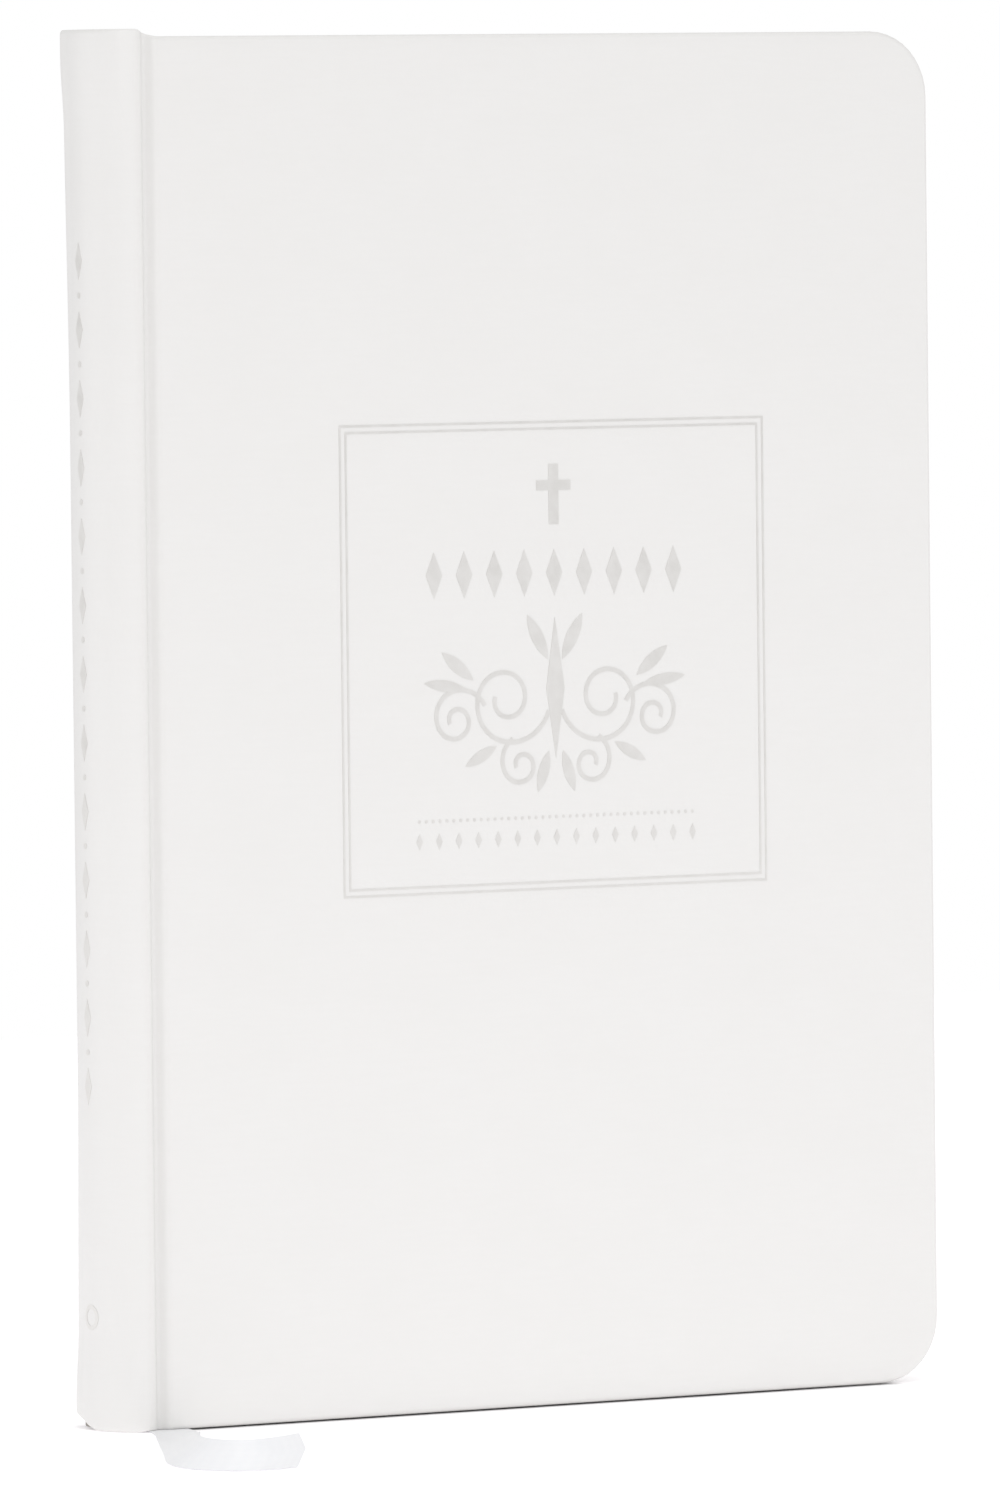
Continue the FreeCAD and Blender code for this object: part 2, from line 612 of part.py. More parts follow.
# ---- Build --------------------------------------------------------------------------------
os.makedirs("parts", exist_ok=True)

save("spine_covering", spine_covering())
save("spine_card", spine_card())
save("sewing_thread", *sewing_thread())
save("spine_mull", block_layer(MULL_INNER, MULL, BLOCK_HALF - FOLD_RADIUS,
                               BLOCK_TAIL + MULL_MARGIN, BLOCK_HEAD - MULL_MARGIN))
save("spine_lining", block_layer(LINING_INNER, LINING, BLOCK_HALF - 0.5, BLOCK_TAIL + 1, BLOCK_HEAD - 1))
save("headband", headband(BLOCK_HEAD, 1))
save("tailband", headband(BLOCK_TAIL, -1))
save("ribbon_marker", ribbon_marker())
save("ribbon_tail", ribbon_tail())
save("foil_spine", *foil_spine())

for number in range(SIGNATURES):
    save("signature_%02d" % (number + 1), signature(number))

for name, piece in (("board", cover_board()), ("covering", cover_covering()), ("mull_wing", mull_wing()),
                    ("pastedown", pastedown()), ("flyleaf", flyleaf())):
    save("front_" + name, piece)
    save("back_" + name, mirrored(piece))

save("foil_frame", *foil_frame())
save("foil_cross", foil_cross())
save("foil_lozenges", *lozenge_row(BAND_LOZENGES, BAND_HALF_SPAN, BAND_Z, BAND_LOZENGE_WIDE, BAND_LOZENGE_TALL))
save("foil_scroll", foil_scroll())
save("foil_dots", *foil_dots())
save("foil_small_lozenges", *lozenge_row(SMALL_LOZENGES, DOT_HALF_SPAN, SMALL_Z,
                                         SMALL_LOZENGE_WIDE, SMALL_LOZENGE_TALL))
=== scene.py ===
import math

import bmesh
import bpy
import numpy as np
from mathutils import Matrix, Vector


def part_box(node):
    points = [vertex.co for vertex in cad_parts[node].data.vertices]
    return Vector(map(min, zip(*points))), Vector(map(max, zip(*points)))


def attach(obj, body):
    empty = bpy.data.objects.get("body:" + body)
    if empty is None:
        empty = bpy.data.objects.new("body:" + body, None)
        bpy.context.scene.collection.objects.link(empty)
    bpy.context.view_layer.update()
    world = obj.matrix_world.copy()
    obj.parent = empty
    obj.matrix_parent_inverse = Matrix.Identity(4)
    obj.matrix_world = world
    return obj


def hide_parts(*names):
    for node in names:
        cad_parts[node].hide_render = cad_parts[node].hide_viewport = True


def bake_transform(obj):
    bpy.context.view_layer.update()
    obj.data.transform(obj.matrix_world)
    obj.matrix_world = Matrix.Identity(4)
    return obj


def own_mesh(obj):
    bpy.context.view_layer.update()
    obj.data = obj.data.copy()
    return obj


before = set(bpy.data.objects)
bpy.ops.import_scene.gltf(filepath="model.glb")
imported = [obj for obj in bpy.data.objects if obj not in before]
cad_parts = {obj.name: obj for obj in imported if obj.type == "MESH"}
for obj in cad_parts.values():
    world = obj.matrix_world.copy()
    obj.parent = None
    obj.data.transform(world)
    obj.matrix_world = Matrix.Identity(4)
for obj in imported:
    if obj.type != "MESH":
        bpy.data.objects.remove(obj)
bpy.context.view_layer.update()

# Looks of the closed bible: covering, endpapers, leaves, headbands, ribbon and foil.
# Shapes are worked out in millimetres and scaled to metres when a mesh is made.

MM = 0.001
TINY = 1e-6
ROOT = "spine_and_block"

# ---- Camera -------------------------------------------------------------------------------
CAMERA_YAW = 31.798          # degrees it looks to the right of +Y
CAMERA_PITCH = 2.462         # degrees down
CAMERA_ROLL = -0.620
CAMERA_TARGET = (-4.488, -7.3, 79.530)
CAMERA_DISTANCE = 1735.54
CAMERA_LENS = 346.54
CAMERA_SENSOR = 36
CAMERA_CLIP = (0.05, 50)     # in metres

# ---- Case, as in the CAD --------------------------------------------------------------------
SPINE_X = -58.0
FORE_X = 58.0
COVER_FACE = 7.3
BOARD_TAIL = 0.5
BOARD_HEAD = 165.5
TAIL_EDGE = 0.20             # covered tail edge of the boards above the floor
SPINE_HEAD = 166.4
CORNER_RADIUS = 8.0
SPINE_HALF = 6.9
SPINE_SAGITTA = 3.7
SPINE_RADIUS = (SPINE_HALF ** 2 + SPINE_SAGITTA ** 2) / (2 * SPINE_SAGITTA)
SPINE_CENTRE_X = SPINE_X + SPINE_RADIUS
SPINE_TURN = math.asin(SPINE_HALF / SPINE_RADIUS)
SHOULDER_RADIUS = 0.9
SHOULDER_EXIT = math.radians(135)
SPINE_STEPS = 24             # steps of the section over half the spine, and round its shoulder
SHOULDER_STEPS = 8
FALL_STEPS = 8               # steps down into the groove, and up out of it
CLIMB_STEPS = 13
FALL_REACH = 0.35            # handles of the curve through the groove
GROOVE_REACH = (0.4, 0.55)
FACE_REACH = 0.9
GROOVE = (-52.45, 6.15)      # bottom of the joint groove: x, distance from the middle plane
FACE_X = -51.0               # the flat face of a cover starts here
SPLIT_X = -53.2              # the covering is split into its front and back pieces here
INNER_FACE = 5.2             # inner face of the turned-in covering
COVERING = 0.25              # thickness of the covering sheet

# ---- Covering -------------------------------------------------------------------------------
SPINE_EDGE = 1.2             # thickness of the spine at head and tail
JOINT_EDGE = 0.6             # two layers of covering in the joint
EDGE_ROUND = 0.6             # round of the covering over the edges
INNER_ROUND = 0.3
EDGE_SHARE = 0.45            # a round takes at most this share of the edge's thickness
TURN_IN_RINGS = (1.5, 3.5, 5.5, 7.0)
EDGE_STEPS = 4               # steps of the outer round
INNER_STEPS = 3
SPINE_THIN = (4.0, 1.6)      # the spine thins to the joint from this distance, over this length
BOARD_RISE = 1.2             # the wrapped edge reaches the inner face over this length
HEAD_STEP = (-54.0, 3.2)     # the head drops from the spine to the boards: from x, over this length
TAIL_STEP = (SPINE_X + 2.6, 1.1)      # and the tail rises
BUMP_TURN = (12, 50)         # degrees round the spine where the rubbed corner ends, and its fade
BUMP_END = (SPLIT_X + 1, 1.5)         # x where it ends along the joint, and its fade
SWELL_TURN = (13, 14)        # degrees where the back half starts to stand out, and the fade
SPINE_FADE = 1.2             # a swell of the spine ends over this length at its sides
RIDGE_WEAR = (               # rubbed lines beside the groove: x, width and amount
    (SPINE_X + SPINE_SAGITTA + 0.5, 0.5, 0.35),
    (FACE_X - 0.2, 0.3, 0.25),
)
CAP_SWELL = 0.32             # the covering turned in at head and tail makes the spine thicker there
CAP_LENGTH = 12.0
CAP_FADE = 9.0
HOLLOW_SWELL = (0.12, 0.32)  # the back half of the spine stands out a little, more towards its ends
HOLLOW_MIDDLE = 83.0
HOLLOW_EVEN = 35.0           # it grows from this far from the middle, over the next length
HOLLOW_FADE = 45.0
BUMP_RISE = 1.8              # rubbed corner at the tail of the spine
EDGE_WEAR = (0.35, 0.8, 1.0, 0.8, 0.4, 0.2, 0.0)    # rubbing along the steps of the wrapped edge
CORNER_WEAR = 0.45           # share of it that only the round corners have
FACE_NEAR = (0.3, 0.8, 1.6, 2.8)      # first columns on the flat face, from its start
FACE_COLUMNS = 44
CORNER_STEPS = 10


def smooth(value):
    """0 below 0, 1 above 1, and a smooth step between them."""
    t = np.clip(value, 0, 1)
    return t * t * (3 - 2 * t)


def new_piece(name, points, faces, uv=None):
    """Mesh object from points and uv in millimetres, smooth shaded."""
    mesh = bpy.data.meshes.new(name)
    mesh.from_pydata((np.asarray(points, float) * MM).tolist(), [], faces)
    mesh.polygons.foreach_set("use_smooth", [True] * len(mesh.polygons))
    if uv is not None:
        corners = np.zeros(len(mesh.loops), int)
        mesh.loops.foreach_get("vertex_index", corners)
        layer = mesh.uv_layers.new(name="Flat")
        layer.data.foreach_set("uv", (np.asarray(uv, float) * MM)[corners].ravel())
    mesh.update()
    piece = bpy.data.objects.new(name, mesh)
    bpy.context.scene.collection.objects.link(piece)
    return piece


def thicken(piece, thickness, offset):
    """Gives a sheet its thickness, as closed geometry."""
    modifier = piece.modifiers.new("thickness", "SOLIDIFY")
    modifier.thickness = thickness * MM
    modifier.offset = offset
    apply_modifiers(piece)


def apply_modifiers(piece):
    evaluated = piece.evaluated_get(bpy.context.evaluated_depsgraph_get())
    mesh = bpy.data.meshes.new_from_object(evaluated)
    piece.modifiers.clear()
    piece.data = mesh
    mesh.name = piece.name


def sharpen(piece, degrees):
    piece.data.set_sharp_from_angle(angle=math.radians(degrees))


def face_outwards(piece):
    """Turns every face of a closed piece outwards."""
    work = bmesh.new()
    work.from_mesh(piece.data)
    bmesh.ops.recalc_face_normals(work, faces=work.faces)
    work.to_mesh(piece.data)
    work.free()


def paint(piece, material):
    piece.data.materials.clear()
    piece.data.materials.append(material)


def strip_faces(first, second):
    """Quads between two rows of vertex numbers of the same length."""
    return [(a, b, d, c) for a, b, c, d in zip(first, first[1:], second, second[1:])]


# ---- Camera ---------------------------------------------------------------------------------
def make_camera():
    yaw, pitch, roll = (math.radians(a) for a in (CAMERA_YAW, CAMERA_PITCH, CAMERA_ROLL))
    ahead = math.cos(pitch)
    forward = Vector((math.sin(yaw) * ahead, math.cos(yaw) * ahead, -math.sin(pitch)))
    level = Vector((math.cos(yaw), -math.sin(yaw), 0))
    raised = level.cross(forward)
    right = level * math.cos(roll) + raised * math.sin(roll)
    up = raised * math.cos(roll) - level * math.sin(roll)
    camera = bpy.data.objects.new("camera", bpy.data.cameras.new("camera"))
    camera.data.lens = CAMERA_LENS
    camera.data.sensor_width = CAMERA_SENSOR
    camera.data.clip_start, camera.data.clip_end = CAMERA_CLIP
    place = (Vector(CAMERA_TARGET) - forward * CAMERA_DISTANCE) * MM
    turned = Matrix((right, up, -forward)).transposed().to_4x4()
    camera.matrix_world = Matrix.Translation(place) @ turned
    bpy.context.scene.collection.objects.link(camera)
    bpy.context.scene.camera = camera


make_camera()

# ---- Ribbon tail ----------------------------------------------------------------------------
RIBBON_WIDTH = 5.0
RIBBON_THICKNESS = 0.18
RIBBON_COLUMNS = 8
RIBBON_ROUTE = [             # x, y and height of its middle line
    (-51.0, -3.0, 0.11),
    (-51.1, -7.5, 0.11),
    (-57.0, -18.5, 0.4),
    (-66.0, -34.5, 1.5),
    (-73.2, -47.0, 1.7),
    (-72.0, -54.3, 1.7),
    (-66.4, -55.8, 1.7),
    (-61.3, -53.0, 1.7),
]
RIBBON_STEEPEST = math.radians(40)   # it leans back by this much where its height lets it
RIBBON_SLANT = 3.4           # the cut end is slanted by this much
RIBBON_POINT = 0.5           # and its middle stands forward by this share of that
RIBBON_CUT = 0.8             # the slant grows from this share of its length


def nurbs_line(points, name, resolution=24):
    """Points read from a smooth spline through the route, in millimetres."""
    curve = bpy.data.curves.new(name, "CURVE")
    curve.dimensions = "3D"
    curve.resolution_u = resolution
    spline = curve.splines.new("NURBS")
    spline.points.add(len(points) - 1)
    for target, point in zip(spline.points, points):
        target.co = (*(Vector(point) * MM), 1)
    spline.order_u = 3
    spline.use_endpoint_u = True
    carrier = bpy.data.objects.new(name, curve)
    bpy.context.scene.collection.objects.link(carrier)
    bpy.context.view_layer.update()
    mesh = bpy.data.meshes.new_from_object(carrier)
    line = np.array([vertex.co for vertex in mesh.vertices]) / MM
    bpy.data.objects.remove(carrier)
    return line


def make_ribbon_tail():
    """Satin strip that leaves the book flat and turns onto its edge where it curves round."""
    line = nurbs_line(RIBBON_ROUTE, "ribbon_line")
    tangent = np.gradient(line, axis=0)
    tangent /= np.linalg.norm(tangent, axis=1)[:, None]
    travelled = np.concatenate([[0], np.cumsum(np.linalg.norm(np.diff(line, axis=0), axis=1))])
    share = travelled / travelled[-1]
    half = RIBBON_WIDTH / 2
    rise = (line[:, 2] - RIBBON_ROUTE[0][2]) / half
    tilt = np.minimum(np.arcsin(np.clip(rise, 0, 1)), RIBBON_STEEPEST)
    side = np.cross((0, 0, 1), tangent)
    side /= np.linalg.norm(side, axis=1)[:, None]
    across = side * np.cos(tilt)[:, None] + np.array((0, 0, 1)) * np.sin(tilt)[:, None]
    normal = np.cross(tangent, across)
    slant = smooth((share - RIBBON_CUT) / (1 - RIBBON_CUT)) * RIBBON_SLANT
    points, uv, loops = [], [], []
    for i in range(len(line)):
        loop = []
        for layer in (1, -1):
            for column in range(RIBBON_COLUMNS + 1):
                v = (column / RIBBON_COLUMNS * 2 - 1) * layer
                cut = slant[i] * (v + RIBBON_POINT * (1 - abs(v)))
                place = line[i] + across[i] * half * v + tangent[i] * cut
                place = place + normal[i] * layer * RIBBON_THICKNESS / 2
                loop.append(len(points))
                points.append(place)
                uv.append((travelled[i], half * v + (0 if layer > 0 else 2 * RIBBON_WIDTH)))
        loops.append(loop + loop[:1])
    faces = []
    for first, second in zip(loops, loops[1:]):
        faces += strip_faces(first, second)
    for loop in (loops[0], loops[-1]):
        for column in range(RIBBON_COLUMNS):
            faces.append((loop[column], loop[column + 1], loop[-3 - column], loop[-2 - column]))
    piece = new_piece("ribbon_tail_satin", points, faces, uv)
    face_outwards(piece)
    sharpen(piece, 50)
    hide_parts("ribbon_tail")
    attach(piece, ROOT)
    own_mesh(piece)
    return piece


# ---- Covering: a flat plate bent round the section of the case ----------------------------------
def bezier(a, b, c, d, count):
    """Points on a cubic curve, without its first one."""
    points = []
    for number in range(1, count + 1):
        t = number / count
        s = 1 - t
        shares = (s ** 3, 3 * s * s * t, 3 * s * t * t, t ** 3)
        points.append([sum(w * p[k] for w, p in zip(shares, (a, b, c, d))) for k in (0, 1)])
    return points


def half_section():
    """Outer line of the covering from the middle of the spine to the face, as (x, distance)."""
    points = []
    for number in range(SPINE_STEPS + 1):
        turn = SPINE_TURN * number / SPINE_STEPS
        x = SPINE_CENTRE_X - SPINE_RADIUS * math.cos(turn)
        points.append([x, SPINE_RADIUS * math.sin(turn)])
    centre_x = SPINE_CENTRE_X - (SPINE_RADIUS - SHOULDER_RADIUS) * math.cos(SPINE_TURN)
    centre_y = (SPINE_RADIUS - SHOULDER_RADIUS) * math.sin(SPINE_TURN)
    for number in range(1, SHOULDER_STEPS + 1):
        turn = SPINE_TURN + (SHOULDER_EXIT - SPINE_TURN) * number / SHOULDER_STEPS
        x = centre_x - SHOULDER_RADIUS * math.cos(turn)
        points.append([x, centre_y + SHOULDER_RADIUS * math.sin(turn)])
    fall = points[-1]
    downwards = (fall[0] + FALL_REACH, fall[1] - FALL_REACH)
    before = (GROOVE[0] - GROOVE_REACH[0], GROOVE[1])
    behind = (GROOVE[0] + GROOVE_REACH[1], GROOVE[1])
    level = (FACE_X - FACE_REACH, COVER_FACE)
    points += bezier(fall, downwards, before, GROOVE, FALL_STEPS)
    points += bezier(GROOVE, behind, level, (FACE_X, COVER_FACE), CLIMB_STEPS)
    return np.array(points)


def face_columns():
    """x of the columns on the flat face, up to where the rounded corners start."""
    start = FACE_X
    stop = FORE_X - CORNER_RADIUS
    near = start + np.array(FACE_NEAR)
    return np.concatenate([near, np.linspace(near[-1], stop, FACE_COLUMNS)[1:]])


def edge_profile(thickness):
    """(outwards, depth) along the wrapped edge, from the outer face to the end of the turn-in."""
    outer = min(EDGE_ROUND, thickness * EDGE_SHARE)
    inner = min(INNER_ROUND, thickness * EDGE_SHARE)
    profile = []
    for number in range(1, EDGE_STEPS + 1):
        turn = math.pi / 2 * number / EDGE_STEPS
        profile.append((outer * math.sin(turn), outer * (1 - math.cos(turn))))
    profile.append((outer, (outer + thickness - inner) / 2))
    for number in range(INNER_STEPS + 1):
        turn = math.pi / 2 * number / INNER_STEPS
        outwards = outer - inner * (1 - math.cos(turn))
        profile.append((outwards, thickness - inner * (1 - math.sin(turn))))
    return profile + [(outer - inner - ring, thickness) for ring in TURN_IN_RINGS]


def column_table():
    """Every column of half the case: its outer point, way inwards, thickness, u and corner turn."""
    section = half_section()
    flat = face_columns()
    corner = np.linspace(0, math.pi / 2, CORNER_STEPS + 1)[1:]
    inset = CORNER_RADIUS - EDGE_ROUND
    corner_x = FORE_X - CORNER_RADIUS + inset * np.sin(corner)
    outer = np.concatenate([
        section,
        np.column_stack([flat, np.full(len(flat), COVER_FACE)]),
        np.column_stack([corner_x, np.full(len(corner), COVER_FACE)]),
    ])
    along = np.gradient(outer, axis=0)
    along /= np.linalg.norm(along, axis=1)[:, None]
    inwards = np.column_stack([along[:, 1], -along[:, 0]])
    inwards[0] = (1, 0)
    thickness = np.full(len(outer), JOINT_EDGE)
    spine = np.arange(len(outer)) <= SPINE_STEPS
    thinned = 1 - smooth((outer[spine, 1] - SPINE_THIN[0]) / SPINE_THIN[1])
    thickness[spine] += (SPINE_EDGE - JOINT_EDGE) * thinned
    on_board = outer[:, 0] >= GROOVE[0] - TINY
    inwards[on_board] = (0, -1)
    inner = GROOVE[1] - JOINT_EDGE
    reached = smooth((outer[on_board, 0] - GROOVE[0]) / BOARD_RISE)
    thickness[on_board] = outer[on_board, 1] - inner + (inner - INNER_FACE) * reached
    step = np.linalg.norm(np.diff(outer, axis=0), axis=1)
    turn = np.zeros(len(outer))
    turn[-len(corner):] = corner
    return {
        "outer": outer,
        "inwards": inwards,
        "thickness": thickness,
        "u": np.concatenate([[0], np.cumsum(step)]),
        "turn": turn,
    }


def edge_heights(outer, turn, side):
    """Tail and head of the covering at each column; side is -1 in front and +1 at the back."""
    x = outer[:, 0]
    tail = TAIL_EDGE * smooth((x - TAIL_STEP[0]) / TAIL_STEP[1])
    head = SPINE_HEAD + (BOARD_HEAD - SPINE_HEAD) * smooth((x - HEAD_STEP[0]) / HEAD_STEP[1])
    around = np.degrees(np.arctan2(outer[:, 1], SPINE_CENTRE_X - x)) * -side
    bump = smooth((BUMP_TURN[0] - around) / BUMP_TURN[1]) * smooth((BUMP_END[0] - x) / BUMP_END[1])
    tail = tail + np.where(x < BUMP_END[0], BUMP_RISE * bump, 0)
    drop = CORNER_RADIUS * (1 - np.cos(turn))
    return tail + drop, head - drop


ROW_SHARES = np.concatenate([
    np.linspace(0, 0.1, 15)[:-1],
    np.linspace(0.1, 0.9, 50)[:-1],
    np.linspace(0.9, 1, 15),
])


def plate(name, columns, side):
    """Covering from a table of columns, bent to the section, with its edges wrapped and turned in.
    side holds -1 for columns of the front half and +1 for those of the back."""
    names = ("outer", "inwards", "thickness", "turn", "u")
    outer, inwards, thickness, turn, u = (columns[key] for key in names)
    count = len(outer)
    rows = len(ROW_SHARES)
    tail, head = columns["tail"], columns["head"]
    edge = np.minimum(EDGE_ROUND, thickness * EDGE_SHARE)
    low = tail + edge * np.cos(turn)
    high = head - edge * np.cos(turn)
    points, uv, wear = [], [], []

    def add(column, z, out_x, out_z, outwards, depth, run, rub):
        place = outer[column] + inwards[column] * depth
        swell = CAP_SWELL * columns["spine"][column]
        swell *= smooth((CAP_LENGTH - min(z, SPINE_HEAD - z)) / CAP_FADE)
        growth = smooth((abs(z - HOLLOW_MIDDLE) - HOLLOW_EVEN) / HOLLOW_FADE)
        swell += columns["hollow"][column] * (HOLLOW_SWELL[0] + HOLLOW_SWELL[1] * growth)
        place = place - inwards[column] * swell
        points.append((place[0] + out_x * outwards, place[1] * side[column], z + out_z * outwards))
        uv.append((u[column] + out_x * run, z + out_z * run))
        corner = math.sin(2 * turn[column])
        straight = 1 - CORNER_WEAR
        wear.append(rub * (straight + CORNER_WEAR * corner) + columns["ridge"][column] * (1 - rub))
        return len(points) - 1

    grid = []
    for share in ROW_SHARES:
        heights = low + (high - low) * share
        grid.append([add(c, heights[c], 0, 0, 0, 0, 0, 0) for c in range(count)])
    border = [(c, 0) for c in range(count)]
    border += [(count - 1, r) for r in range(1, rows)]
    border += [(c, rows - 1) for c in range(count - 2, -1, -1)]
    rings = [[grid[r][c] for c, r in border]]
    profiles = [edge_profile(t) for t in thickness]
    for step in range(len(profiles[0])):
        ring = []
        for c, r in border:
            z = low[c] + (high[c] - low[c]) * ROW_SHARES[r]
            out_x = math.sin(turn[c])
            out_z = math.cos(turn[c]) * (-1 if r == 0 else 1 if r == rows - 1 else 0)
            outwards, depth = profiles[c][step]
            run = outwards if step < EDGE_STEPS else EDGE_ROUND + depth + max(0, -outwards)
            rub = EDGE_WEAR[min(step, len(EDGE_WEAR) - 1)]
            ring.append(add(c, z, out_x, out_z, outwards, depth, run, rub))
        rings.append(ring)
    faces = []
    for first, second in zip(grid, grid[1:]):
        faces += strip_faces(first, second)
    for first, second in zip(rings, rings[1:]):
        faces += strip_faces(second, first)
    if side[-1] > 0:
        faces = [face[::-1] for face in faces]
    piece = new_piece(name, points, faces, uv)
    attribute = piece.data.attributes.new("wear", "FLOAT", "POINT")
    attribute.data.foreach_set("value", wear)
    thicken(piece, COVERING, -1)
    sharpen(piece, 60)
    return piece


def take(columns, picked, sign):
    """Part of a table of columns; sign says which way its u runs."""
    part = {key: value[picked] for key, value in columns.items()}
    part["u"] = part["u"] * sign
    return part


def make_coverings():
    table = column_table()
    x = table["outer"][:, 0]
    depth = table["outer"][:, 1]
    before_fall = np.arange(len(x)) <= SPINE_STEPS + SHOULDER_STEPS + 1
    table["spine"] = np.where(before_fall, smooth((SPINE_HALF - depth) / SPINE_FADE), 0)
    ridges = [amount * np.exp(-((x - at) / width) ** 2) for at, width, amount in RIDGE_WEAR]
    table["ridge"] = sum(ridges)
    around = np.degrees(np.arctan2(depth, SPINE_CENTRE_X - x))
    hollow = table["spine"] * smooth((around - SWELL_TURN[0]) / SWELL_TURN[1])
    halves = {}
    for side in (-1, 1):
        half = dict(table)
        half["hollow"] = hollow if side > 0 else np.zeros(len(x))
        half["tail"], half["head"] = edge_heights(table["outer"], table["turn"], side)
        halves[side] = half
    seam = int(np.argmax(x > SPLIT_X - TINY))
    back_of_spine = take(halves[1], np.arange(seam, 0, -1), -1)
    front_half = take(halves[-1], np.arange(len(x)), 1)
    front_table = {key: np.concatenate([back_of_spine[key], front_half[key]]) for key in front_half}
    front_side = np.concatenate([np.ones(seam), -np.ones(len(x))])
    front = plate("front_covering_skin", front_table, front_side)
    back_half = take(halves[1], np.arange(seam, len(x)), 1)
    back = plate("back_covering_skin", back_half, np.ones(len(x) - seam))
    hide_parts("spine_covering", "front_covering")
    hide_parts("back_covering")
    for piece, side, body in ((front, -1, "front_cover"), (back, 1, "back_cover")):
        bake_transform(piece)
    return front, back


ribbon_tail = make_ribbon_tail()
front_skin, back_skin = make_coverings()

# ---- Endpapers ------------------------------------------------------------------------------
FOLD_X = -54.5               # fold shared by the pastedown and the flyleaf
PASTE_START = -50.8          # the pastedown lies on the board from here
PASTE_END = 54.0
PASTE_TAIL = 4.5
PASTE_HEAD = 161.5
PASTE_CORNER = 4.0
PASTE_FACE = 5.05
BLOCK_TAIL = 3.7
BLOCK_HEAD = 162.3
TURN_IN = 12.0               # edge of the turned-in covering, which shows through the pastedown
TURN_IN_STEP = 0.2
MULL_END = -33.3             # edge of the cloth wing under the pastedown
MULL_MARGIN = 16.0
MULL_STEP = 0.09
STEP_WIDTH = 1.0
PAPER = 0.12
PRESSED_START = 3.0          # the pastedown is pressed onto the board from here past the fold
FLYLEAF_FACE = 4.89
FLYLEAF_PAPER = 0.1
FLYLEAF_END = 54.8
CURL_LENGTH = 26             # its columns are closer together over this length
CURL_COLUMNS = 20
FLAT_COLUMNS = 7
FLYLEAF_ROWS = 9


def inside(value, start, stop):
    """1 between start and stop, 0 outside, with a short smooth step."""
    return smooth((value - start) / STEP_WIDTH + 0.5) * smooth((stop - value) / STEP_WIDTH + 0.5)


def paper_sheet(name, x, drop, tail, head, shares, face, side, thickness):
    """Sheet on one side of the block; face(x, z) is how far it is from the middle plane."""
    points, uv, grid = [], [], []
    for place, cut, low, high in zip(x, drop, tail, head):
        column = []
        for share in shares:
            z = low + cut + (high - low - 2 * cut) * share
            column.append(len(points))
            points.append((place, side * face(place, z), z))
            uv.append((place, z))
        grid.append(column)
    faces = []
    for first, second in zip(grid, grid[1:]):
        faces += strip_faces(first, second)
    if side > 0:
        faces = [quad[::-1] for quad in faces]
    piece = new_piece(name, points, faces, uv)
    thicken(piece, thickness, -1)
    sharpen(piece, 60)
    return piece


def make_endpaper(label, side):
    """Pastedown that runs on across the joint to its fold at the block."""
    joint = np.linspace(FOLD_X, PASTE_START, 14)
    corner = np.linspace(0, math.pi / 2, 9)[1:]
    steps = np.array([MULL_END - 0.6, MULL_END - 0.2, MULL_END + 0.2, MULL_END + 0.6])
    edge = FORE_X - TURN_IN
    edge_steps = np.array([edge - 0.8, edge - 0.4, edge, edge + 0.4, edge + 0.8])
    flat = np.sort(np.concatenate([np.linspace(-49.5, 50, 30), steps, edge_steps]))
    x = np.concatenate([joint, flat, PASTE_END - PASTE_CORNER + PASTE_CORNER * np.sin(corner)])
    drop = np.concatenate([np.zeros(len(joint) + len(flat)), PASTE_CORNER * (1 - np.cos(corner))])
    onto_board = smooth((x - FOLD_X) / (PASTE_START - FOLD_X))
    tail = BLOCK_TAIL + (PASTE_TAIL - BLOCK_TAIL) * onto_board
    head = BLOCK_HEAD + (PASTE_HEAD - BLOCK_HEAD) * onto_board
    near = np.array([0, 0.8, 2.5, 5, 7, 7.4, 7.8, 8.2, 8.6, 10, 12.5, 14.6, 15.0, 15.4, 15.8, 18])
    length = PASTE_HEAD - PASTE_TAIL
    shares = np.concatenate([near / length, np.linspace(0.14, 0.86, 24), 1 - near[::-1] / length])

    def face(place, z):
        pressed = inside(place, FOLD_X + PRESSED_START, FORE_X - TURN_IN)
        pressed *= inside(z, BOARD_TAIL + TURN_IN, BOARD_HEAD - TURN_IN)
        mull = inside(place, FOLD_X, MULL_END)
        mull *= inside(z, BLOCK_TAIL + MULL_MARGIN, BLOCK_HEAD - MULL_MARGIN)
        return PASTE_FACE + TURN_IN_STEP * pressed - MULL_STEP * mull * pressed

    piece = paper_sheet(label + "_endpaper", x, drop, tail, head, shares, face, side, PAPER)
    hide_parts(label + "_pastedown")
    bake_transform(piece)
    return piece


def curl_columns(start, stop):
    """x of the columns of a leaf, closer together near its fold."""
    bend = start + CURL_LENGTH
    near = np.linspace(start, bend, CURL_COLUMNS)
    return np.concatenate([near, np.linspace(bend, stop, FLAT_COLUMNS)[1:]])


def make_flyleaf(label, side):
    x = curl_columns(FOLD_X, FLYLEAF_END)
    flat = np.zeros(len(x))
    piece = paper_sheet(label + "_flyleaf_sheet", x, flat, flat + BLOCK_TAIL, flat + BLOCK_HEAD,
                        np.linspace(0, 1, FLYLEAF_ROWS), lambda place, z: FLYLEAF_FACE, side,
                        FLYLEAF_PAPER)
    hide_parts(label + "_flyleaf")
    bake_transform(piece)
    return piece


endpapers = [make_endpaper("front", -1), make_endpaper("back", 1)]
flyleaves = [make_flyleaf("front", -1), make_flyleaf("back", 1)]

